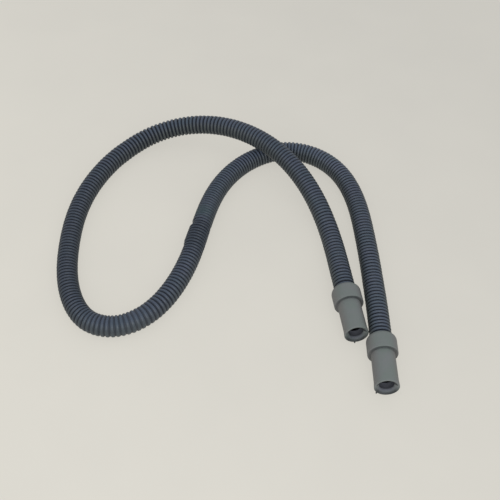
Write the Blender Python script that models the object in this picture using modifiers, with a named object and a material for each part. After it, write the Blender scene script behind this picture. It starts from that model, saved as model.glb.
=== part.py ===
"""A corrugated appliance water hose with a stepped cuff moulded on each end.

The hose lies on the floor in one open loop and crosses over itself once. It is made of two
lengths: the end of the long one is swollen over the end of the short one. Units are metres,
+Z is up, the floor is z = 0 and both cuffs point towards -Y.
"""
import math

import bpy
import numpy as np

# Hose
HOSE_DIAMETER = 0.024
LONG_HOSE_LENGTH = 0.9955
JOIN_OVERLAP = 0.038
JOIN_TAPER = 0.008
HOSE_WALL = 0.0009
JOIN_EASE = 0.060
POINT_SPACING = 0.022
SQUARE_END = 0.003
BEVEL_RESOLUTION = 4

# Cuff
COLLAR_DIAMETER = 0.0325
COLLAR_LENGTH = 0.022
SHOULDER_LENGTH = 0.006
SOCKET_DEPTH = 0.0185
SOCKET_LIP = 0.0003
SPIGOT_DIAMETER = 0.0254
SPIGOT_LENGTH = 0.0408
TIP_DIAMETER = 0.0262
TIP_TAPER = 0.007
BORE_DIAMETER = 0.0156
MOUTH_DIAMETER = 0.024
MOUTH_DEPTH = 0.0036
TIP_ROUNDING = 0.0006
COLLAR_ROUNDING = 0.0008
STEP_FILLET = 0.0006
CUFF_SIDES = 48
ARC_STEPS = 3
SHOULDER_STEPS = 5

# Gaps between pieces that touch
CLEARANCE = 0.0003
CROSSING_GAP = 0.001

# Each cuff: where the hose ends inside it, and how far it is turned from -Y towards +X
LEFT_HOSE_END = (-0.0146, 0.0460)
LEFT_HEADING = math.radians(7.1)
RIGHT_HOSE_END = (0.0161, -0.0210)
RIGHT_HEADING = 0.0

# The hose's middle line between the cuffs, from the left one round to the right one: x, y and
# the lift, which is 0 where the hose lies on the floor and 1 where it crosses over itself
ROUTE = (
    (-0.0267, 0.1461, 0.0),
    (-0.0476, 0.2169, 0.36),
    (-0.0805, 0.2679, 0.84),
    (-0.1207, 0.3046, 1.0),
    (-0.1748, 0.3338, 0.72),
    (-0.2104, 0.3393, 0.44),
    (-0.2511, 0.3283, 0.16),
    (-0.2836, 0.3013, 0.0),
    (-0.3097, 0.2596, 0.0),
    (-0.3276, 0.2048, 0.0),
    (-0.3325, 0.1340, 0.0),
    (-0.3230, 0.0671, 0.0),
    (-0.3123, 0.0421, 0.0),
    (-0.2952, 0.0228, 0.0),
    (-0.2705, 0.0160, 0.0),
    (-0.2419, 0.0267, 0.0),
    (-0.2188, 0.0512, 0.0),
    (-0.2044, 0.0778, 0.0),
    (-0.1893, 0.1224, 0.0),
    (-0.1850, 0.1418, 0.0),
    (-0.1768, 0.1808, 0.0),
    (-0.1633, 0.2269, 0.0),
    (-0.1438, 0.2615, 0.0),
    (-0.1130, 0.2902, 0.0),
    (-0.0754, 0.3026, 0.0),
    (-0.0372, 0.2904, 0.0),
    (-0.0138, 0.2664, 0.0),
    (0.0033, 0.2252, 0.0),
    (0.0125, 0.1559, 0.0),
    (0.0157, 0.0850, 0.0),
)
CURVE_SAMPLES = 4000

HOSE_RADIUS = HOSE_DIAMETER / 2
CUFF_HEIGHT = COLLAR_DIAMETER / 2
END_IN_COLLAR = SOCKET_DEPTH - CLEARANCE

HOSE_COLOUR = (0.050, 0.060, 0.080, 1.0)
CUFF_COLOUR = (0.160, 0.180, 0.175, 1.0)


def remove_everything():
    """Empty the scene of its objects."""
    for obj in list(bpy.data.objects):
        bpy.data.objects.remove(obj, do_unlink=True)


def new_collection(name):
    """Make a collection in the scene."""
    collection = bpy.data.collections.new(name)
    bpy.context.scene.collection.children.link(collection)
    return collection


def plastic(name, colour, roughness):
    """Make a plain plastic or rubber material."""
    material = bpy.data.materials.new(name)
    material.use_nodes = True
    shader = material.node_tree.nodes["Principled BSDF"]
    shader.inputs["Base Color"].default_value = colour
    shader.inputs["Roughness"].default_value = roughness
    shader.inputs["Metallic"].default_value = 0.0
    return material


def heading_vector(heading):
    """The way a cuff points, level with the floor."""
    return np.array((math.sin(heading), -math.cos(heading), 0.0))


def straight_lead(hose_end, heading):
    """Three points in line with a cuff: the hose's end, the collar's rear and a diameter behind it."""
    end = np.array((hose_end[0], hose_end[1], CUFF_HEIGHT))
    back = -heading_vector(heading)
    return [end, end + back * END_IN_COLLAR, end + back * (END_IN_COLLAR + HOSE_DIAMETER)]


def route_points():
    """All points of the hose's middle line, from end to end."""
    rise = HOSE_DIAMETER + CROSSING_GAP
    middle = [np.array((x, y, HOSE_RADIUS + lift * rise)) for x, y, lift in ROUTE]
    left = straight_lead(LEFT_HOSE_END, LEFT_HEADING)
    right = straight_lead(RIGHT_HOSE_END, RIGHT_HEADING)
    return np.array(left + middle + right[::-1])


def smooth_curve(points):
    """Closely spaced points on the natural cubic spline through the given points."""
    chords = np.linalg.norm(np.diff(points, axis=0), axis=1)
    knots = np.concatenate(([0.0], np.cumsum(chords)))
    count = len(points)
    matrix = np.eye(count)
    turn = np.zeros((count, 3))
    for i in range(1, count - 1):
        before = chords[i - 1]
        after = chords[i]
        matrix[i, i - 1] = before
        matrix[i, i] = 2.0 * (before + after)
        matrix[i, i + 1] = after
        turn[i] = 6.0 * ((points[i + 1] - points[i]) / after - (points[i] - points[i - 1]) / before)
    second = np.linalg.solve(matrix, turn)
    at = np.linspace(0.0, knots[-1], CURVE_SAMPLES)
    span = np.clip(np.searchsorted(knots, at, side="right") - 1, 0, count - 2)
    width = chords[span][:, None]
    near = (knots[span + 1] - at)[:, None] / width
    far = 1.0 - near
    bend = (near**3 - near) * second[span] + (far**3 - far) * second[span + 1]
    curve = near * points[span] + far * points[span + 1] + bend * width**2 / 6.0
    return rest_on_floor(curve)


def distances_along(curve):
    """The distance of each point of a curve from its start."""
    steps = np.linalg.norm(np.diff(curve, axis=0), axis=1)
    return np.concatenate(([0.0], np.cumsum(steps)))


def swelling(at):
    """How far the long hose is widened over the short one, as a share of its radius."""
    start = LONG_HOSE_LENGTH - JOIN_OVERLAP - JOIN_TAPER
    share = np.clip((at - start) / JOIN_TAPER, 0.0, 1.0)
    return 1.0 + share * HOSE_WALL / HOSE_RADIUS


def rest_on_floor(curve):
    """Lift the curve where the hose would reach below the floor, with its swollen end on the floor too."""
    along = distances_along(curve)
    before = LONG_HOSE_LENGTH - JOIN_OVERLAP - JOIN_TAPER - along
    from_join = np.maximum(np.maximum(before, along - LONG_HOSE_LENGTH), 0.0)
    share = np.clip(1.0 - from_join / JOIN_EASE, 0.0, 1.0)
    lift = HOSE_WALL * share**2 * (3.0 - 2.0 * share)
    curve[:, 2] = np.maximum(curve[:, 2], HOSE_RADIUS + lift)
    return curve


def spaced(start, end):
    """Evenly spaced distances along the hose, from start to end."""
    return np.linspace(start, end, max(2, round((end - start) / POINT_SPACING) + 1))


def points_at(curve, at):
    """The points of a curve at the given distances along it."""
    along = distances_along(curve)
    return np.stack([np.interp(at, along, curve[:, axis]) for axis in range(3)], axis=1)


def hose(name, points, widths, material, collection):
    """A tube along the given points, as a curve with filled caps."""
    data = bpy.data.curves.new(name, "CURVE")
    data.dimensions = "3D"
    data.bevel_depth = HOSE_RADIUS
    data.bevel_resolution = BEVEL_RESOLUTION
    data.use_fill_caps = True
    spline = data.splines.new("POLY")
    spline.points.add(len(points) - 1)
    for control, point, width in zip(spline.points, points, widths):
        control.co = (point[0], point[1], point[2], 1.0)
        control.radius = width
    spline.use_smooth = True
    obj = bpy.data.objects.new(name, data)
    collection.objects.link(obj)
    data.materials.append(material)
    return obj


def two_hoses(material, collection):
    """The long hose with its swollen end, and the short hose that comes out of it.

    A short straight piece at each end of a hose keeps its cap square to the middle line.
    """
    curve = smooth_curve(route_points())
    whole = distances_along(curve)[-1]
    swollen = LONG_HOSE_LENGTH - JOIN_OVERLAP
    plain = spaced(SQUARE_END, swollen - JOIN_TAPER)
    wide = spaced(swollen, LONG_HOSE_LENGTH - SQUARE_END)
    at = np.concatenate(([0.0], plain, wide, [LONG_HOSE_LENGTH]))
    hose("long_hose", points_at(curve, at), swelling(at), material, collection)
    start = LONG_HOSE_LENGTH + CLEARANCE
    at = np.concatenate(([start], spaced(start + SQUARE_END, whole - SQUARE_END), [whole]))
    hose("short_hose", points_at(curve, at), np.ones(len(at)), material, collection)


def arc(centre, radius, start, end, steps):
    """Points on an arc in the profile's plane, angles in degrees from the +X side."""
    angles = np.radians(np.linspace(start, end, steps + 1))
    return [(centre[0] + radius * math.cos(a), centre[1] + radius * math.sin(a)) for a in angles]


def cuff_profile():
    """Half section of a cuff as radius and height, rear at height 0, down its outer side first."""
    collar = COLLAR_DIAMETER / 2
    spigot = SPIGOT_DIAMETER / 2
    socket = HOSE_RADIUS + CLEARANCE
    lip = socket + SOCKET_LIP
    bore = BORE_DIAMETER / 2
    tip = COLLAR_LENGTH + SPIGOT_LENGTH
    drop = collar - lip
    shoulder = (SHOULDER_LENGTH**2 + drop**2) / (2.0 * drop)
    sweep = math.degrees(math.asin(SHOULDER_LENGTH / shoulder))
    profile = [(MOUTH_DIAMETER / 2, tip)]
    edge = (TIP_DIAMETER / 2 - TIP_ROUNDING, tip - TIP_ROUNDING)
    profile += arc(edge, TIP_ROUNDING, 90, 0, ARC_STEPS)
    profile.append((spigot, tip - TIP_TAPER))
    step = (spigot + STEP_FILLET, COLLAR_LENGTH + STEP_FILLET)
    profile += arc(step, STEP_FILLET, 180, 270, ARC_STEPS)
    edge = (collar - COLLAR_ROUNDING, COLLAR_LENGTH - COLLAR_ROUNDING)
    profile += arc(edge, COLLAR_ROUNDING, 90, 0, ARC_STEPS)
    profile += arc((collar - shoulder, SHOULDER_LENGTH), shoulder, 0, -sweep, SHOULDER_STEPS)
    profile += [(socket, 0.0), (socket, SOCKET_DEPTH), (bore, SOCKET_DEPTH), (bore, tip - MOUTH_DEPTH)]
    return profile


def cuff(name, hose_end, heading, material, collection):
    """A cuff turned from its half section and laid down so that its mouth looks along the heading."""
    profile = cuff_profile()
    mesh = bpy.data.meshes.new(name)
    count = len(profile)
    edges = [(i, (i + 1) % count) for i in range(count)]
    mesh.from_pydata([(radius, 0.0, height) for radius, height in profile], edges, [])
    obj = bpy.data.objects.new(name, mesh)
    collection.objects.link(obj)
    screw = obj.modifiers.new("turn", "SCREW")
    screw.axis = "Z"
    screw.angle = 2.0 * math.pi
    screw.steps = CUFF_SIDES
    screw.render_steps = CUFF_SIDES
    screw.use_merge_vertices = True
    screw.merge_threshold = 0.00005
    screw.use_smooth_shade = True
    rear = np.array((hose_end[0], hose_end[1], CUFF_HEIGHT)) - heading_vector(heading) * END_IN_COLLAR
    obj.location = rear
    obj.rotation_euler = (math.pi / 2, 0.0, heading)
    mesh.materials.append(material)
    return obj


def main():
    remove_everything()
    parts = new_collection("corrugated_hose")
    hose_plastic = plastic("hose_plastic", HOSE_COLOUR, 0.45)
    cuff_rubber = plastic("cuff_rubber", CUFF_COLOUR, 0.6)
    two_hoses(hose_plastic, parts)
    cuff("left_cuff", LEFT_HOSE_END, LEFT_HEADING, cuff_rubber, parts)
    cuff("right_cuff", RIGHT_HOSE_END, RIGHT_HEADING, cuff_rubber, parts)
    bpy.context.view_layer.update()


main()
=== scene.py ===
"""A corrugated appliance water hose with its two cuffs, on a plain pale floor.

Everything is in metres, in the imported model's own frame: +Z up, floor at z = 0. The hose is two
corrugated tubes, one pushed into the other's end, with the route that their solids have. The
cuffs stand for their solids and keep their sizes.
"""
import math

import bpy
import numpy as np
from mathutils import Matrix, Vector


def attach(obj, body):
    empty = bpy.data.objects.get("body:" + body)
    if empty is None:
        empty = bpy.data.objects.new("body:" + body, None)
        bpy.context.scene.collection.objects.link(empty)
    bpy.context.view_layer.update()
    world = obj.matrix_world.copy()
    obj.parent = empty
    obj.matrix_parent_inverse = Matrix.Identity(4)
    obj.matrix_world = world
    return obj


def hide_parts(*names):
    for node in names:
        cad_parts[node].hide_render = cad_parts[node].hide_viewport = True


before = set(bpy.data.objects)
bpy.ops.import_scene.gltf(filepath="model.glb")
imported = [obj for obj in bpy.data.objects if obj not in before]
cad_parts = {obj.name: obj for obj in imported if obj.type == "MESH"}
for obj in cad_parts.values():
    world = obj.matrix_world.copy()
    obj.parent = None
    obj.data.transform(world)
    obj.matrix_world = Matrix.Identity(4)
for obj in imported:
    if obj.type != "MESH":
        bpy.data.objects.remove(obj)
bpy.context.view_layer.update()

# Hose, as in the model
HOSE_DIAMETER = 0.024
LONG_HOSE_LENGTH = 0.9955
JOIN_OVERLAP = 0.038
JOIN_TAPER = 0.008
JOIN_EASE = 0.060
HOSE_WALL = 0.0009
CLEARANCE = 0.0003
CROSSING_GAP = 0.001
CURVE_SAMPLES = 4000

# Cuffs, as in the model
COLLAR_DIAMETER = 0.0325
COLLAR_LENGTH = 0.022
SHOULDER_LENGTH = 0.006
SOCKET_DEPTH = 0.0185
SPIGOT_DIAMETER = 0.0254
SPIGOT_LENGTH = 0.0408
TIP_DIAMETER = 0.0262
TIP_TAPER = 0.007
BORE_DIAMETER = 0.0156
MOUTH_DIAMETER = 0.024
MOUTH_DEPTH = 0.0036
TIP_ROUNDING = 0.0006
COLLAR_ROUNDING = 0.0008
STEP_FILLET = 0.0006

LEFT_HOSE_END = (-0.0146, 0.0460)
LEFT_HEADING = math.radians(7.1)
RIGHT_HOSE_END = (0.0161, -0.0210)
RIGHT_HEADING = 0.0

# The hose's middle line, left cuff round to right cuff: x, y, and lift from the floor (0) to
# the top of the crossing (1)
ROUTE = (
    (-0.0267, 0.1461, 0.0),
    (-0.0476, 0.2169, 0.36),
    (-0.0805, 0.2679, 0.84),
    (-0.1207, 0.3046, 1.0),
    (-0.1748, 0.3338, 0.72),
    (-0.2104, 0.3393, 0.44),
    (-0.2511, 0.3283, 0.16),
    (-0.2836, 0.3013, 0.0),
    (-0.3097, 0.2596, 0.0),
    (-0.3276, 0.2048, 0.0),
    (-0.3325, 0.1340, 0.0),
    (-0.3230, 0.0671, 0.0),
    (-0.3123, 0.0421, 0.0),
    (-0.2952, 0.0228, 0.0),
    (-0.2705, 0.0160, 0.0),
    (-0.2419, 0.0267, 0.0),
    (-0.2188, 0.0512, 0.0),
    (-0.2044, 0.0778, 0.0),
    (-0.1893, 0.1224, 0.0),
    (-0.1850, 0.1418, 0.0),
    (-0.1768, 0.1808, 0.0),
    (-0.1633, 0.2269, 0.0),
    (-0.1438, 0.2615, 0.0),
    (-0.1130, 0.2902, 0.0),
    (-0.0754, 0.3026, 0.0),
    (-0.0372, 0.2904, 0.0),
    (-0.0138, 0.2664, 0.0),
    (0.0033, 0.2252, 0.0),
    (0.0125, 0.1559, 0.0),
    (0.0157, 0.0850, 0.0),
)

HOSE_RADIUS = HOSE_DIAMETER / 2
CUFF_HEIGHT = COLLAR_DIAMETER / 2
CUFF_LENGTH = COLLAR_LENGTH + SPIGOT_LENGTH
END_IN_COLLAR = SOCKET_DEPTH - CLEARANCE

# Ribs: the pitch at some distances from the left end, stretched in the tightest bend
LONG_PITCH = (
    (0.018, 0.00564),
    (0.021, 0.00440),
    (0.05, 0.00470),
    (0.08, 0.00520),
    (0.11, 0.00520),
    (0.14, 0.00460),
    (0.17, 0.00430),
    (0.23, 0.00430),
    (0.26, 0.00440),
    (0.29, 0.00470),
    (0.32, 0.00505),
    (0.35, 0.00520),
    (0.44, 0.00510),
    (0.47, 0.00525),
    (0.53, 0.00500),
    (0.59, 0.00485),
    (0.65, 0.00460),
    (0.71, 0.00440),
    (0.77, 0.00425),
    (0.80, 0.00480),
    (0.83, 0.00525),
    (0.86, 0.00490),
    (0.92, 0.00450),
    (0.95, 0.00425),
    (0.98, 0.00450),
)
SHORT_PITCH = (
    (1.01, 0.00400),
    (1.04, 0.00418),
    (1.10, 0.00427),
    (1.19, 0.00455),
    (1.25, 0.00445),
    (1.34, 0.00455),
    (1.40, 0.00460),
    (1.43, 0.00490),
    (1.46, 0.00485),
    (1.49, 0.00450),
    (1.51, 0.00435),
    (1.52, 0.00480),
)
RIB_DEPTH = 0.0018
# Share of the full rib depth at some distances, least where the tightest bend pulls the folds
FOLD_DEPTH = (
    (0.08, 1.15),
    (0.15, 0.80),
    (0.28, 0.80),
    (0.33, 0.85),
    (0.42, 0.90),
    (0.50, 1.10),
    (0.60, 1.15),
    (0.75, 1.10),
    (0.78, 0.70),
    (0.83, 0.58),
    (0.86, 0.85),
    (0.92, 0.90),
    (0.98, 1.10),
    (1.02, 0.80),
    (1.10, 0.95),
    (1.16, 0.78),
    (1.22, 0.75),
    (1.28, 1.00),
    (1.37, 1.05),
    (1.43, 1.15),
)
# Share of the pitch from one groove to the next, and the height: 0 in the groove, 1 on the rib
RIB_OUTLINE = (
    (0.00, 0.00),
    (0.11, 0.06),
    (0.19, 0.42),
    (0.28, 0.84),
    (0.50, 1.00),
    (0.72, 0.84),
    (0.81, 0.42),
    (0.89, 0.06),
)
INSIDE_OUTLINE = ((0.0, 0.0), (0.5, 1.0))
# Plain rim that each hose ends in: its length, and the share of it and the height of its corners
RIM_LENGTH = 0.0018
RIM_OUTLINE = ((0.0, 0.0), (0.3, 1.0), (1.0, 1.0))
HOSE_SIDES = 32
# How far ribs lean, how much smaller some are, and the rates that tell one rib from the next
RIB_TILT = 0.00010
RIB_SIZE_CHANGE = 0.00008
LEAN_ACROSS_RATE = 2137.0
LEAN_UPRIGHT_RATE = 1733.0
SIZE_RATE = 991.0

# How much wider the long hose is over the short one, and how far both lie to the left there
SWELLING = (
    (0.952, 0.0),
    (0.960, 0.0007),
    (0.982, 0.0005),
    (0.9852, 0.0002),
    (0.9875, -0.0007),
    (0.9915, -0.0007),
    (0.9935, 0.0),
)
JOIN_SHIFT = (
    (0.952, 0.0),
    (0.960, 0.0006),
    (0.982, 0.0005),
    (0.9875, -0.0004),
    (0.9915, -0.0004),
    (0.9935, 0.0),
)
# How much darker the plastic is painted along the hose: duller most of all where the long hose is
# stretched over the short one, and painted shade and painted light elsewhere, lightest just past
# the crossing against the over strand's shade
DULLNESS_AND_SHADE = (
    (0.12, 0.48),
    (0.26, 0.48),
    (0.32, 0.33),
    (0.40, 0.33),
    (0.50, 0.54),
    (0.58, 0.71),
    (0.64, 0.82),
    (0.73, 0.82),
    (0.79, 0.50),
    (0.93, 0.52),
    (0.955, 1.0),
    (0.985, 1.0),
    (0.995, 0.61),
    (1.05, 0.50),
    (1.12, 0.20),
    (1.16, 0.0),
    (1.24, 0.0),
    (1.30, 0.50),
    (1.45, 0.38),
)
# How strongly the sides get painted shade and warm floor reflection at some distances, where it
# starts as a share of the radius, and over what share it fades in
SIDE_REFLECTION_SHARE = (
    (0.74, 1.0),
    (0.80, 0.75),
    (1.24, 0.75),
    (1.30, 1.0),
)
SIDE_START = 0.5
SIDE_FADE = 0.4
# Ribs clogged by a smear of sealant just past the join, on the upper left side
SMEAR_PLACE = 1.006
SMEAR_LENGTH = 0.010
SMEAR_ANGLE = math.radians(112.0)
SMEAR_SPREAD = 1.1
SMEAR_FILL = 0.55

# Cuffs in detail
CUFF_SIDES = 96
LIP_ROUNDING = 0.0003
LIP_CLEARANCE = 0.00005
SHOULDER_STEPS = 8
RIM_ROUNDING = 0.0002
SMOOTH_BELOW = math.radians(35.0)
# Two corners of the mouth's cone: one from its edge, one from the bore
CONE_EDGE_INWARDS = 0.0015
CONE_EDGE_BACK = 0.0007
CONE_FOOT_OUTWARDS = 0.0013
CONE_FOOT_SHARE = 0.55
# The wide hollow behind the front of the bore
RELIEF_PLACE = 0.0112
RELIEF_DEPTH = 0.0022
HOLLOW_RADIUS = HOSE_RADIUS - 0.0005
# The little moulding flash on the tip's edge
FLASH_LENGTH = 0.0016
FLASH_PLACE = 0.0016
FLASH_HALF_WIDTH = 3.0 * math.pi / CUFF_SIDES
FLASH_OUTWARDS = 0.8
FLASH_FORWARDS = 0.6
FLASH_NARROWING = 0.8
LEFT_FLASH_ANGLE = math.radians(266.25)
RIGHT_FLASH_ANGLE = math.radians(225.0)
# Painted shade in the step: how far along the spigot, how far from the collar's edge, how much less
# there, and its strength on the sides, with what is added above and the least below
STEP_SHADE_ON_SPIGOT = 0.0016
STEP_SHADE_OFF_COLLAR = 0.0005
STEP_SHADE_LESS_AT_COLLAR = 0.5
STEP_SHADE_STRENGTH = 0.55
STEP_SHADE_ABOVE = 0.45
STEP_SHADE_LEAST = 0.15
# Darkening of the rear lip, and painted shade under the mouth's rim: its width, its fade and the slant of
# its edge
LIP_DARKENING = 0.8
RIM_SHADE_WIDTH = 0.0030
RIM_SHADE_FADE = 0.0010
RIM_SHADE_SLANT = 0.7
# Where the painted warm floor reflection on a cuff's sides starts and fades, as for the hose
CUFF_SIDE_START = 0.5
CUFF_SIDE_FADE = 0.45
# Where the bore's painted shadow starts under the upper edge of the mouth
EDGE_SHADE_INWARDS = 0.0004
EDGE_SHADE_ABOVE = 0.2

# Tolerances: what counts as one place, what is merged, and a little past a place or a length
SAME_PLACE = 0.00003
MERGE_DISTANCE = 0.00001
SLACK = 0.0001
JUST_PAST = 1.01

# Colours of the hose's plastic
SLATE_BLUE = (0.066, 0.084, 0.132)
SLATE_TEAL = (0.056, 0.086, 0.120)
RUBBED_BLUE = (0.097, 0.121, 0.165)
# Painted shade and warm floor reflection on the hose's sides
OLIVE_SIDE_REFLECTION = (0.062, 0.070, 0.057)
# Darker where the plastic is duller at the join, and painted shade elsewhere along the hose
DULL_SHADE_BLUE = (0.016, 0.027, 0.045)
# Painted shade in the grooves
GROOVE_SHADE = (0.006, 0.010, 0.019)
SEALANT_TEAL = (0.019, 0.042, 0.053)

# Colours of the cuffs' rubber
GREEN_GREY = (0.134, 0.161, 0.151)
BLUE_GREY = (0.146, 0.160, 0.162)
# Painted warm floor reflection and shade on a cuff's sides
WARM_SIDE_REFLECTION = (0.146, 0.142, 0.138)
DARK_SPECKS = (0.117, 0.131, 0.128)
# Painted bluish shade on the lower half of the mouth's cone
MOUTH_BLUISH_SHADE = (0.071, 0.077, 0.100)
# Painted shadow at the front of the bore and under the mouth's upper edge, and painted light deeper in
BORE_FRONT_SHADOW = (0.028, 0.030, 0.038)
BORE_REAR_PAINTED_LIGHT = (0.115, 0.123, 0.146)
# Painted shade in the step and under the tip's rim, and the darker rear lip
SHADE_AND_LIP_DARK = (0.022, 0.026, 0.029)
# Painted shadow in the hollow, with a little dust
HOLLOW_SHADOW_BLACK = (0.002, 0.002, 0.003)
HOLLOW_DUST = (0.006, 0.006, 0.007)

# Floor
FLOOR_SIZE = 12.0
# The floor at either end of its painted light, lighter towards the front left
FLOOR_PAINTED_DARKER = (0.617, 0.601, 0.552)
FLOOR_PAINTED_LIGHTER = (0.716, 0.694, 0.630)
FLOOR_PAINTED_LIGHT_TOWARDS = (-1.2, -0.9, 0.0)
# How much of the floor's brightness stays in its shadows
FLOOR_GLOW = 0.80

# Camera
CAMERA_LENS = 64.8
CAMERA_SENSOR = 36.0
CAMERA_PLACE = (-0.1221, -0.58305, 0.7747)
CAMERA_TILT = math.radians(43.0)

# Light
LAMP_SIZE = 1.0
LAMP_POWER = 5.5
LAMP_PLACE = (0.0, -0.85, 0.75)
LAMP_AIM = (-0.12, 0.10, 0.0)
WORLD_COLOUR = (0.98, 0.98, 0.99)
WORLD_STRENGTH = 0.77


def heading_vector(heading):
    """The way a cuff points, level with the floor."""
    return np.array((math.sin(heading), -math.cos(heading), 0.0))


def straight_lead(hose_end, heading):
    """Three points in line with a cuff: the hose's end, the collar's rear and a diameter behind."""
    end = np.array((hose_end[0], hose_end[1], CUFF_HEIGHT))
    back = -heading_vector(heading)
    return [end, end + back * END_IN_COLLAR, end + back * (END_IN_COLLAR + HOSE_DIAMETER)]


def route_points():
    """All points of the hose's middle line, from end to end."""
    rise = HOSE_DIAMETER + CROSSING_GAP
    middle = [np.array((x, y, HOSE_RADIUS + lift * rise)) for x, y, lift in ROUTE]
    left = straight_lead(LEFT_HOSE_END, LEFT_HEADING)
    right = straight_lead(RIGHT_HOSE_END, RIGHT_HEADING)
    return np.array(left + middle + right[::-1])


def distances_along(curve):
    """The distance of each point of a curve from its start."""
    steps = np.linalg.norm(np.diff(curve, axis=0), axis=1)
    return np.concatenate(([0.0], np.cumsum(steps)))


def rest_on_floor(curve):
    """Lift the curve where the hose would reach below the floor, its swollen end included."""
    along = distances_along(curve)
    before = LONG_HOSE_LENGTH - JOIN_OVERLAP - JOIN_TAPER - along
    from_join = np.maximum(np.maximum(before, along - LONG_HOSE_LENGTH), 0.0)
    share = np.clip(1.0 - from_join / JOIN_EASE, 0.0, 1.0)
    lift = HOSE_WALL * share**2 * (3.0 - 2.0 * share)
    curve[:, 2] = np.maximum(curve[:, 2], HOSE_RADIUS + lift)
    return curve


def smooth_curve(points):
    """Closely spaced points on the natural cubic spline through the given points."""
    chords = np.linalg.norm(np.diff(points, axis=0), axis=1)
    knots = np.concatenate(([0.0], np.cumsum(chords)))
    count = len(points)
    matrix = np.eye(count)
    turn = np.zeros((count, 3))
    for i in range(1, count - 1):
        before = chords[i - 1]
        after = chords[i]
        matrix[i, i - 1] = before
        matrix[i, i] = 2.0 * (before + after)
        matrix[i, i + 1] = after
        turn[i] = 6.0 * ((points[i + 1] - points[i]) / after - (points[i] - points[i - 1]) / before)
    second = np.linalg.solve(matrix, turn)
    at = np.linspace(0.0, knots[-1], CURVE_SAMPLES)
    span = np.clip(np.searchsorted(knots, at, side="right") - 1, 0, count - 2)
    width = chords[span][:, None]
    near = (knots[span + 1] - at)[:, None] / width
    far = 1.0 - near
    bend = (near**3 - near) * second[span] + (far**3 - far) * second[span + 1]
    curve = near * points[span] + far * points[span + 1] + bend * width**2 / 6.0
    return rest_on_floor(curve)


def along_curve(curve, at):
    """Places on the curve at some distances, with the level side and the upper side there."""
    along = distances_along(curve)
    ahead = np.gradient(curve, along, axis=0)
    place = np.stack([np.interp(at, along, curve[:, axis]) for axis in range(3)], axis=-1)
    tangent = np.stack([np.interp(at, along, ahead[:, axis]) for axis in range(3)], axis=-1)
    tangent /= np.linalg.norm(tangent, axis=-1, keepdims=True)
    side = np.cross(tangent, (0.0, 0.0, 1.0))
    side /= np.linalg.norm(side, axis=-1, keepdims=True)
    return place, side, np.cross(side, tangent)


def value_at(table, at):
    """Read a short table of distances and values in between its rows."""
    where, values = zip(*table)
    return np.interp(at, where, values)


def groove_places(start, end, pitches):
    """The distance of each groove, one pitch after another, with the last one at the end."""
    places = [start]
    while places[-1] < end - value_at(pitches, places[-1]) / 2:
        places.append(places[-1] + value_at(pitches, places[-1]))
    places = np.array(places)
    return start + (places - start) * (end - start) / (places[-1] - start)


def rib_rings(grooves, outline):
    """Distance and height of every ring of a corrugated wall, and the middle of its rib."""
    share, height = np.array(outline).T
    rim_share, rim_height = np.array(RIM_OUTLINE).T
    pitch = np.diff(grooves)
    at = (grooves[:-1, None] + pitch[:, None] * share).ravel()
    middle = np.repeat(grooves[:-1] + pitch / 2, len(share))
    return (
        np.append(at, grooves[-1] + RIM_LENGTH * rim_share),
        np.append(np.tile(height, len(pitch)), rim_height),
        np.append(middle, middle[-len(RIM_OUTLINE):]),
    )


def smear(at, angle):
    """How thick the sealant lies at a distance along the hose and an angle round it, 0 to 1."""
    near = np.exp(-(((at - SMEAR_PLACE) / SMEAR_LENGTH) ** 2))
    return near * np.cos((angle - SMEAR_ANGLE) / SMEAR_SPREAD).clip(0.0, 1.0) * (at > LONG_HOSE_LENGTH)


def wall_points(curve, grooves, outline, crown, inset):
    """One wall of a hose: rings of points, and the values that its material reads at each."""
    at, height, rib = rib_rings(grooves, outline)
    angle = np.arange(HOSE_SIDES) * 2.0 * math.pi / HOSE_SIDES
    across = np.sin(LEAN_ACROSS_RATE * rib)[:, None] * np.cos(angle)
    upright = np.cos(LEAN_UPRIGHT_RATE * rib)[:, None] * np.sin(angle)
    lean = RIB_TILT * (across + upright)
    lean[[0, -1]] = 0.0
    where = at[:, None] + lean
    place, side, up = along_curve(curve, where)
    filled = smear(where, angle)
    fall = (1.0 - height[:, None]) * (1.0 - SMEAR_FILL * filled) * value_at(FOLD_DEPTH, where)
    change = RIB_SIZE_CHANGE * (0.5 + 0.5 * np.sin(SIZE_RATE * rib))[:, None]
    radius = crown(where) - change - fall * RIB_DEPTH - inset
    across = radius * np.cos(angle) - value_at(JOIN_SHIFT, where)
    points = place + side * across[..., None] + up * (radius * np.sin(angle))[..., None]
    # Painted shade and warm floor reflection on the sides, where they face level
    beside = ((np.abs(np.cos(angle)) - SIDE_START) / SIDE_FADE).clip(0.0, 1.0)
    values = {
        "groove": fall,
        "smear": filled,
        "side_shade_and_reflection": beside * value_at(SIDE_REFLECTION_SHARE, where),
        # Painted shade and light along the hose, with the duller join
        "dull_and_shade": value_at(DULLNESS_AND_SHADE, where),
    }
    return points, values


def ring_faces(first, rings, outwards):
    """Four-sided faces between neighbouring rings, whose points start at number first."""
    i, j = np.meshgrid(np.arange(rings - 1), np.arange(HOSE_SIDES), indexing="ij")
    a = first + i * HOSE_SIDES + j
    b = first + i * HOSE_SIDES + (j + 1) % HOSE_SIDES
    order = (a, a + HOSE_SIDES, b + HOSE_SIDES, b)
    return np.stack(order if outwards else order[::-1], axis=-1).reshape(-1, 4)


def end_faces(outer, inner, at_start):
    """The ring that closes the wall at an end of a hose."""
    j = np.arange(HOSE_SIDES)
    k = (j + 1) % HOSE_SIDES
    order = (outer + j, outer + k, inner + k, inner + j)
    return np.stack(order if at_start else order[::-1], axis=-1)


def set_values(mesh, name, values):
    """Give every point of a mesh a value that its material reads."""
    layer = mesh.attributes.new(name, "FLOAT", "POINT")
    layer.data.foreach_set("value", np.asarray(values, np.float32).ravel())


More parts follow.
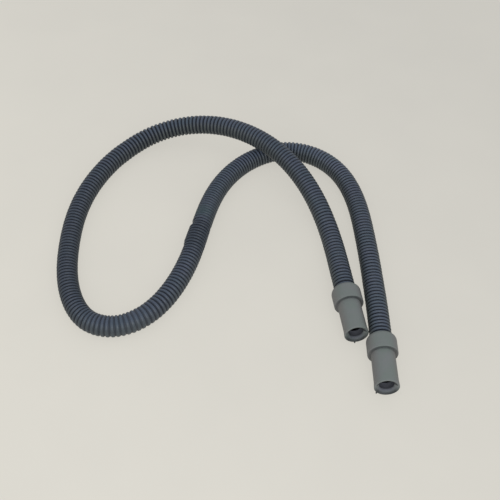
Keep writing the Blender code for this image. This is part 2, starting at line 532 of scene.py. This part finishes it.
def corrugated_hose(name, curve, grooves, crown, material):
    """A corrugated tube round the curve, with a wall and both ends open."""
    outer, values = wall_points(curve, grooves, RIB_OUTLINE, crown, 0.0)
    inner, inner_values = wall_points(curve, grooves, INSIDE_OUTLINE, crown, HOSE_WALL)
    count = len(outer) * HOSE_SIDES
    last_inner = count + (len(inner) - 1) * HOSE_SIDES
    faces = np.concatenate((
        ring_faces(0, len(outer), True),
        ring_faces(count, len(inner), False),
        end_faces(0, count, True),
        end_faces(count - HOSE_SIDES, last_inner, False),
    ))
    points = np.concatenate((outer.reshape(-1, 3), inner.reshape(-1, 3)))
    mesh = bpy.data.meshes.new(name)
    mesh.from_pydata(points.tolist(), [], faces.tolist())
    for value in values:
        set_values(mesh, value, np.concatenate((values[value].ravel(), inner_values[value].ravel())))
    mesh.shade_smooth()
    mesh.materials.append(material)
    obj = bpy.data.objects.new(name, mesh)
    bpy.context.scene.collection.objects.link(obj)
    return obj


def long_crown(at):
    """The long hose's radius over its ribs, swollen over the short one."""
    return HOSE_RADIUS + np.where(at > SWELLING[0][0], value_at(SWELLING, at), 0.0)


def short_crown(at):
    """The short hose's radius over its ribs, squeezed inside the long one."""
    return np.where(at < LONG_HOSE_LENGTH, long_crown(at) - HOSE_WALL - LIP_CLEARANCE, HOSE_RADIUS)


def hoses(material):
    """The long hose, and the short one that starts inside its end."""
    curve = smooth_curve(route_points())
    whole = distances_along(curve)[-1]
    long_grooves = groove_places(0.0, LONG_HOSE_LENGTH - RIM_LENGTH, LONG_PITCH)
    inside = long_grooves[long_grooves > LONG_HOSE_LENGTH - JOIN_OVERLAP]
    ahead = groove_places(inside[-1], whole - RIM_LENGTH, SHORT_PITCH)
    short_grooves = np.concatenate((inside[:-1], ahead))
    long_piece = corrugated_hose("long_corrugated_hose", curve, long_grooves, long_crown, material)
    short_piece = corrugated_hose("short_corrugated_hose", curve, short_grooves, short_crown, material)
    declare_hose(long_piece, "long_hose", curve, long_grooves)
    declare_hose(short_piece, "short_hose", curve, short_grooves)


def declare_hose(piece, node, curve, grooves):
    """Attach a hose to the root and hide the solid that it stands for."""
    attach(piece, "root")
    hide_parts(node)
    places = np.append(grooves, grooves[-1] + RIM_LENGTH)
    along_curve(curve, places)[0]


def cuff_rings():
    """The corners of a cuff's half section as radius and height, rear at height 0.

    They run from the rear lip over the outside to the tip, and back inside to the lip.
    """
    collar = COLLAR_DIAMETER / 2
    spigot = SPIGOT_DIAMETER / 2
    flared = TIP_DIAMETER / 2
    mouth = MOUTH_DIAMETER / 2
    bore = BORE_DIAMETER / 2
    socket = HOSE_RADIUS + CLEARANCE
    lip = HOSE_RADIUS + LIP_CLEARANCE
    tip = CUFF_LENGTH
    drop = collar - lip - LIP_ROUNDING
    curve = (SHOULDER_LENGTH**2 + drop**2) / (2.0 * drop)
    sweep = math.asin(SHOULDER_LENGTH / curve)
    turns = [sweep * (1.0 - i / SHOULDER_STEPS) for i in range(SHOULDER_STEPS + 1)]
    centre = collar - curve
    shoulder = [(centre + curve * math.cos(a), SHOULDER_LENGTH - curve * math.sin(a)) for a in turns]
    return [
        (lip, LIP_ROUNDING),
        *shoulder,
        (collar, COLLAR_LENGTH - STEP_SHADE_ON_SPIGOT),
        (collar, COLLAR_LENGTH),
        (spigot, COLLAR_LENGTH),
        (spigot, COLLAR_LENGTH + STEP_SHADE_ON_SPIGOT),
        (spigot, tip - TIP_TAPER),
        (flared, tip - FLASH_PLACE),
        (flared, tip),
        (mouth, tip),
        (mouth - CONE_EDGE_INWARDS, tip - CONE_EDGE_BACK),
        (bore + CONE_FOOT_OUTWARDS, tip - CONE_FOOT_SHARE * MOUTH_DEPTH),
        (bore, tip - MOUTH_DEPTH),
        (bore, tip - RELIEF_PLACE),
        (bore + RELIEF_DEPTH, tip - RELIEF_PLACE),
        (bore + RELIEF_DEPTH, SOCKET_DEPTH + RELIEF_DEPTH),
        (bore, SOCKET_DEPTH + RELIEF_DEPTH),
        (bore, SOCKET_DEPTH),
        (socket, SOCKET_DEPTH),
        (socket, 2.0 * LIP_ROUNDING),
        (lip, LIP_ROUNDING),
    ]


def turned(name, rings):
    """A shape turned round +Z: a circle that is extruded and resized from corner to corner."""
    bpy.ops.object.select_all(action="DESELECT")
    bpy.ops.mesh.primitive_circle_add(vertices=CUFF_SIDES, radius=rings[0][0], location=(0.0, 0.0, 0.0))
    obj = bpy.context.object
    obj.name = name
    obj.data.name = name
    bpy.ops.object.mode_set(mode="EDIT")
    bpy.ops.transform.translate(value=(0.0, 0.0, rings[0][1]))
    for (radius, height), (next_radius, next_height) in zip(rings, rings[1:]):
        rise = (0.0, 0.0, next_height - height)
        bpy.ops.mesh.extrude_region_move(TRANSFORM_OT_translate={"value": rise})
        share = next_radius / radius
        bpy.ops.transform.resize(value=(share, share, 1.0), center_override=(0.0, 0.0, next_height))
    bpy.ops.mesh.select_all(action="SELECT")
    bpy.ops.mesh.remove_doubles(threshold=MERGE_DISTANCE)
    bpy.ops.mesh.normals_make_consistent(inside=False)
    bpy.ops.object.mode_set(mode="OBJECT")
    return obj


def select_only(obj, chosen):
    """Select in edit mode the vertices that a test on radius, height and angle picks."""
    bpy.ops.mesh.select_mode(type="VERT")
    bpy.ops.mesh.select_all(action="DESELECT")
    bpy.ops.object.mode_set(mode="OBJECT")
    for vertex in obj.data.vertices:
        x, y, z = vertex.co
        vertex.select = chosen(math.hypot(x, y), z, math.atan2(y, x) % (2.0 * math.pi))
    bpy.ops.object.mode_set(mode="EDIT")


def round_edge(obj, radius, height, rounding, segments=3):
    """Bevel the circular edge at a radius and height."""
    select_only(obj, lambda r, h, angle: abs(r - radius) < SAME_PLACE and abs(h - height) < SAME_PLACE)
    bpy.ops.mesh.bevel(offset=rounding, segments=segments, profile=0.5, affect="EDGES")


def pull_flash(obj, flash_angle):
    """Pull a little moulding flash out of the tip's edge, at an angle round the cuff."""
    edge = TIP_DIAMETER / 2
    start = CUFF_LENGTH - FLASH_PLACE
    select_only(
        obj,
        lambda r, h, angle: abs(r - edge) < SAME_PLACE
        and h > start - SAME_PLACE
        and abs(angle - flash_angle) < FLASH_HALF_WIDTH,
    )
    outwards = Vector((math.cos(flash_angle), math.sin(flash_angle), 0.0))
    pull = FLASH_LENGTH * (FLASH_OUTWARDS * outwards + Vector((0.0, 0.0, FLASH_FORWARDS)))
    end = edge * outwards + Vector((0.0, 0.0, start + FLASH_PLACE / 3)) + pull
    bpy.ops.mesh.extrude_region_move(TRANSFORM_OT_translate={"value": pull})
    bpy.ops.transform.resize(value=(FLASH_NARROWING,) * 3, center_override=end)


def cuff(name, node, hose_end, heading, flash_angle, materials):
    """A cuff, laid down so that its mouth looks along the heading."""
    tip = CUFF_LENGTH
    obj = turned(name, cuff_rings())
    bpy.ops.object.mode_set(mode="EDIT")
    round_edge(obj, COLLAR_DIAMETER / 2, COLLAR_LENGTH, COLLAR_ROUNDING)
    round_edge(obj, SPIGOT_DIAMETER / 2, COLLAR_LENGTH, STEP_FILLET)
    round_edge(obj, TIP_DIAMETER / 2, tip, TIP_ROUNDING)
    round_edge(obj, MOUTH_DIAMETER / 2, tip, RIM_ROUNDING, 2)
    round_edge(obj, BORE_DIAMETER / 2, tip - MOUTH_DEPTH, STEP_FILLET, 2)
    pull_flash(obj, flash_angle)
    bpy.ops.object.mode_set(mode="OBJECT")
    bpy.ops.object.shade_smooth_by_angle(angle=SMOOTH_BELOW)
    set_cuff_values(obj.data)
    for material in materials:
        obj.data.materials.append(material)
    # Faces deep in the hollow take the painted shadow material
    for face in obj.data.polygons:
        inside = math.hypot(face.center.x, face.center.y) < HOLLOW_RADIUS
        if inside and face.center.z < tip - RELIEF_PLACE + SLACK:
            face.material_index = 1
    rear = np.array((hose_end[0], hose_end[1], CUFF_HEIGHT)) - heading_vector(heading) * END_IN_COLLAR
    obj.location = rear
    obj.rotation_euler = (math.pi / 2, 0.0, heading)
    bpy.ops.object.transform_apply(location=True, rotation=True, scale=True)
    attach(obj, "root")
    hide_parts(node)


def lower_side(upwards, start, rate):
    """From 0 to 1 towards the underside, where upwards runs from 1 above to -1 below."""
    return (start - rate * upwards).clip(0.0, 1.0)


def set_cuff_values(mesh):
    """Give each point the values that the rubber reads: painted shade at the step, the rim, the mouth and
    the bore, a darker lip, and painted reflection on the sides.
    """
    places = np.empty(len(mesh.vertices) * 3)
    mesh.vertices.foreach_get("co", places)
    x, y, height = places.reshape(-1, 3).T
    radius = np.hypot(x, y)
    upwards = y / radius
    tip = CUFF_LENGTH
    collar = COLLAR_DIAMETER / 2
    spigot = SPIGOT_DIAMETER / 2
    mouth = MOUTH_DIAMETER / 2
    bore = BORE_DIAMETER / 2
    outside = radius > spigot - SLACK

    # Painted shade in the step, strongest above
    ahead = ((height - COLLAR_LENGTH) / STEP_SHADE_ON_SPIGOT).clip(0.0, 1.0)
    on_face = (height > COLLAR_LENGTH - 2 * SLACK) & (height < COLLAR_LENGTH + JUST_PAST * STEP_SHADE_ON_SPIGOT)
    on_face &= outside & (radius < collar - STEP_SHADE_OFF_COLLAR)
    near_step = 1.0 - STEP_SHADE_LESS_AT_COLLAR * (radius - spigot) / (collar - spigot)
    strength = (STEP_SHADE_STRENGTH + STEP_SHADE_ABOVE * upwards).clip(STEP_SHADE_LEAST, None)
    step = on_face * (1.0 - ahead) * near_step * strength
    # The rear lip is made darker
    lip = (height < 1.5 * LIP_ROUNDING) * LIP_DARKENING
    # Painted shade under the lower side of the tip's rim
    from_edge = (TIP_DIAMETER / 2 - radius).clip(0.0, None) + RIM_SHADE_SLANT * (tip - height)
    rim = lower_side(upwards, start=0.15, rate=1.4)
    rim *= 1.0 - ((from_edge - RIM_SHADE_WIDTH) / RIM_SHADE_FADE).clip(0.0, 1.0)
    set_values(mesh, "painted_shade_and_lip", np.maximum(np.maximum(step, lip), rim))

    # Painted bluish shade on the lower half of the mouth's cone
    in_cone = ((mouth - radius) / (mouth - bore)).clip(0.0, 1.0)
    in_mouth = (height > tip - MOUTH_DEPTH - SLACK) & (radius < mouth + SLACK)
    set_values(mesh, "cone", in_cone * in_mouth * lower_side(upwards, start=-0.1, rate=1.3))

    # Painted shadow in the bore and under the mouth's upper edge, lightening deeper in with painted light
    in_bore = (height > SOCKET_DEPTH - SLACK) & (radius < bore + JUST_PAST * RELIEF_DEPTH) & ~in_mouth
    under_edge = in_mouth & (radius < mouth - EDGE_SHADE_INWARDS) & (upwards > EDGE_SHADE_ABOVE)
    set_values(mesh, "inside", in_bore | under_edge | (in_mouth & (radius < bore + SLACK)))
    depth = (tip - MOUTH_DEPTH - height) / (RELIEF_PLACE - MOUTH_DEPTH)
    set_values(mesh, "depth", depth.clip(0.0, 1.0))

    # Painted warm floor reflection and shade on the cuff's sides
    side_shade_and_reflection = (np.sqrt(1.0 - upwards**2) - CUFF_SIDE_START) / CUFF_SIDE_FADE
    set_values(mesh, "side_shade_and_reflection", outside * side_shade_and_reflection.clip(0.0, 1.0))


class Nodes:
    """A material's node tree, with short calls for its nodes and links."""

    def __init__(self, name):
        self.material = bpy.data.materials.new(name)
        self.material.use_nodes = True
        self.tree = self.material.node_tree
        self.shader = self.tree.nodes["Principled BSDF"]

    def add(self, kind, **settings):
        node = self.tree.nodes.new(kind)
        for setting, value in settings.items():
            setattr(node, setting, value)
        return node

    def link(self, output, socket):
        self.tree.links.new(output, socket)

    def value_of(self, name):
        return self.add("ShaderNodeAttribute", attribute_name=name).outputs["Fac"]

    def noise(self, scale, detail=2.0, roughness=0.5):
        node = self.add("ShaderNodeTexNoise")
        self.link(self.coordinates(), node.inputs["Vector"])
        node.inputs["Scale"].default_value = scale
        node.inputs["Detail"].default_value = detail
        node.inputs["Roughness"].default_value = roughness
        return node.outputs["Fac"]

    def coordinates(self):
        return self.add("ShaderNodeTexCoord").outputs["Object"]

    def between(self, value, low=0.0, high=1.0, start=0.0, end=1.0):
        """Map a value from low..high to start..end, and stop there."""
        node = self.add("ShaderNodeMapRange")
        self.link(value, node.inputs["Value"])
        for socket, number in zip(("From Min", "From Max", "To Min", "To Max"), (low, high, start, end)):
            node.inputs[socket].default_value = number
        return node.outputs["Result"]

    def math(self, operation, first, second):
        node = self.add("ShaderNodeMath", operation=operation)
        self.link(first, node.inputs[0])
        self.link(second, node.inputs[1])
        return node.outputs["Value"]

    def mix(self, share, first, second):
        """Mix two colours, each a colour or another node's output."""
        node = self.add("ShaderNodeMix", data_type="RGBA")
        self.link(share, node.inputs["Factor"])
        for socket, colour in (("A", first), ("B", second)):
            socket = next(s for s in node.inputs if s.name == socket and s.type == "RGBA")
            if isinstance(colour, tuple):
                socket.default_value = (*colour, 1.0)
            else:
                self.link(colour, socket)
        return next(s for s in node.outputs if s.type == "RGBA")

    def bump(self, height, distance, strength):
        node = self.add("ShaderNodeBump")
        self.link(height, node.inputs["Height"])
        node.inputs["Distance"].default_value = distance
        node.inputs["Strength"].default_value = strength
        self.link(node.outputs["Normal"], self.shader.inputs["Normal"])


def hose_plastic():
    """Satin slate-blue plastic: cloudy, specked, with painted shade and warm floor reflection on the
    sides, painted shade and light along the hose, darkest where duller at the join, and painted shade in
    the dusty grooves.
    """
    nodes = Nodes("hose_plastic")
    groove = nodes.value_of("groove")
    clouds = nodes.between(nodes.noise(scale=35.0, detail=3.0), low=0.35, high=0.65)
    colour = nodes.mix(clouds, SLATE_BLUE, SLATE_TEAL)
    specks = nodes.noise(scale=420.0, detail=4.0, roughness=0.65)
    colour = nodes.mix(nodes.between(specks, low=0.45, high=0.75, end=0.45), colour, RUBBED_BLUE)
    # Painted shade and warm floor reflection on the sides
    colour = nodes.mix(nodes.between(nodes.value_of("side_shade_and_reflection"), end=0.85), colour, OLIVE_SIDE_REFLECTION)
    # Darker where the plastic is duller, and painted shade and light along the hose
    colour = nodes.mix(nodes.between(nodes.value_of("dull_and_shade"), end=0.9), colour, DULL_SHADE_BLUE)
    # Painted shade in the grooves
    colour = nodes.mix(nodes.between(groove, low=0.10, high=0.85), colour, GROOVE_SHADE)
    smeared = nodes.between(nodes.value_of("smear"), low=0.2, high=0.9, end=0.9)
    colour = nodes.mix(smeared, colour, SEALANT_TEAL)
    nodes.link(colour, nodes.shader.inputs["Base Color"])
    grain = nodes.noise(scale=900.0, detail=3.0, roughness=0.6)
    satin = nodes.between(grain, low=0.3, high=0.7, start=0.38, end=0.52)
    dusty = nodes.between(groove, low=0.10, high=0.85, end=0.9)
    nodes.link(nodes.math("MAXIMUM", satin, dusty), nodes.shader.inputs["Roughness"])
    nodes.bump(grain, distance=0.0001, strength=0.5)
    return nodes.material


def cuff_rubber():
    """Matte grey-green rubber with soft blotches, a darker rear lip, painted shade at the step and under
    the rim, painted warm reflection on the sides, and painted bluish shade in the mouth and bore.
    """
    nodes = Nodes("cuff_rubber")
    clouds = nodes.between(nodes.noise(scale=60.0, detail=3.0), low=0.35, high=0.65)
    colour = nodes.mix(clouds, GREEN_GREY, BLUE_GREY)
    # Painted warm floor reflection and shade on the sides
    colour = nodes.mix(nodes.between(nodes.value_of("side_shade_and_reflection"), end=0.8), colour, WARM_SIDE_REFLECTION)
    specks = nodes.noise(scale=700.0, detail=4.0, roughness=0.6)
    colour = nodes.mix(nodes.between(specks, low=0.5, high=0.75, end=0.35), colour, DARK_SPECKS)
    # Painted bluish shade on the lower half of the mouth's cone
    colour = nodes.mix(nodes.value_of("cone"), colour, MOUTH_BLUISH_SHADE)
    # Painted shadow in the bore, lightening deeper in with painted light
    inside = nodes.mix(nodes.value_of("depth"), BORE_FRONT_SHADOW, BORE_REAR_PAINTED_LIGHT)
    colour = nodes.mix(nodes.value_of("inside"), colour, inside)
    # Painted shade in the step and under the tip's rim, and the darker rear lip
    patchy = nodes.between(nodes.noise(scale=300.0, detail=3.0), low=0.3, high=0.6, start=0.75)
    painted_shade_and_lip = nodes.math("MULTIPLY", nodes.value_of("painted_shade_and_lip"), patchy)
    colour = nodes.mix(painted_shade_and_lip, colour, SHADE_AND_LIP_DARK)
    nodes.link(colour, nodes.shader.inputs["Base Color"])
    grain = nodes.noise(scale=1400.0, detail=3.0, roughness=0.6)
    matte = nodes.between(grain, low=0.3, high=0.7, start=0.58, end=0.72)
    nodes.link(matte, nodes.shader.inputs["Roughness"])
    nodes.bump(grain, distance=0.0001, strength=0.4)
    return nodes.material


def painted_hollow_shadow():
    """Painted shadow for the hollow of a cuff: nearly black, with a little dust."""
    nodes = Nodes("painted_hollow_shadow")
    dust = nodes.between(nodes.noise(scale=500.0, detail=3.0), low=0.4, high=0.8)
    nodes.link(nodes.mix(dust, HOLLOW_SHADOW_BLACK, HOLLOW_DUST), nodes.shader.inputs["Base Color"])
    nodes.shader.inputs["Roughness"].default_value = 1.0
    nodes.shader.inputs["Specular IOR Level"].default_value = 0.0
    return nodes.material


def pale_floor():
    """A pale warm grey surface with painted light, a little lighter towards the front left, with only
    faint shadows.
    """
    nodes = Nodes("pale_floor")
    # Painted light: the floor is lighter towards the front left
    slope = nodes.add("ShaderNodeVectorMath", operation="DOT_PRODUCT")
    nodes.link(nodes.coordinates(), slope.inputs[0])
    slope.inputs[1].default_value = FLOOR_PAINTED_LIGHT_TOWARDS
    slope = nodes.between(slope.outputs["Value"], low=-0.7, high=0.5)
    clouds = nodes.between(nodes.noise(scale=9.0, detail=3.0), low=0.35, high=0.65, start=-0.06, end=0.06)
    colour = nodes.mix(nodes.math("ADD", slope, clouds), FLOOR_PAINTED_DARKER, FLOOR_PAINTED_LIGHTER)
    nodes.link(colour, nodes.shader.inputs["Base Color"])
    nodes.shader.inputs["Roughness"].default_value = 0.75
    glow = nodes.add("ShaderNodeEmission")
    nodes.link(colour, glow.inputs["Color"])
    light_path = nodes.add("ShaderNodeLightPath")
    seen = light_path.outputs["Is Camera Ray"]
    for kind in ("Is Glossy Ray", "Is Transmission Ray"):
        seen = nodes.math("MAXIMUM", seen, light_path.outputs[kind])
    blend = nodes.add("ShaderNodeMixShader")
    nodes.link(nodes.between(seen, end=FLOOR_GLOW), blend.inputs["Fac"])
    nodes.link(nodes.shader.outputs["BSDF"], blend.inputs[1])
    nodes.link(glow.outputs["Emission"], blend.inputs[2])
    nodes.link(blend.outputs["Shader"], nodes.tree.nodes["Material Output"].inputs["Surface"])
    return nodes.material


def camera():
    """The photograph's view: 47 degrees down, square to the cuffs."""
    data = bpy.data.cameras.new("camera")
    data.lens = CAMERA_LENS
    data.sensor_width = CAMERA_SENSOR
    obj = bpy.data.objects.new("camera", data)
    bpy.context.scene.collection.objects.link(obj)
    obj.location = CAMERA_PLACE
    obj.rotation_euler = (CAMERA_TILT, 0.0, 0.0)
    bpy.context.scene.camera = obj


def floor():
    """A wide pale sheet under the hose."""
    bpy.ops.object.select_all(action="DESELECT")
    bpy.ops.mesh.primitive_plane_add(size=FLOOR_SIZE, location=(0.0, 0.0, 0.0))
    obj = bpy.context.object
    obj.name = "floor"
    obj.data.materials.append(pale_floor())


def lights():
    """One broad soft lamp in front, and a pale world."""
    data = bpy.data.lights.new("softbox", "AREA")
    data.shape = "DISK"
    data.size = LAMP_SIZE
    data.energy = LAMP_POWER
    lamp = bpy.data.objects.new("softbox", data)
    bpy.context.scene.collection.objects.link(lamp)
    lamp.location = LAMP_PLACE
    to_hose = Vector(LAMP_AIM) - Vector(LAMP_PLACE)
    lamp.rotation_euler = to_hose.to_track_quat("-Z", "Y").to_euler()
    world = bpy.data.worlds.new("world")
    world.use_nodes = True
    background = world.node_tree.nodes["Background"]
    background.inputs["Color"].default_value = (*WORLD_COLOUR, 1.0)
    background.inputs["Strength"].default_value = WORLD_STRENGTH
    bpy.context.scene.world = world


camera()
bpy.context.scene.view_settings.view_transform = "Standard"
hoses(hose_plastic())
rubber = (cuff_rubber(), painted_hollow_shadow())
cuff("left_moulded_cuff", "left_cuff", LEFT_HOSE_END, LEFT_HEADING, LEFT_FLASH_ANGLE, rubber)
cuff("right_moulded_cuff", "right_cuff", RIGHT_HOSE_END, RIGHT_HEADING, RIGHT_FLASH_ANGLE, rubber)
floor()
lights()
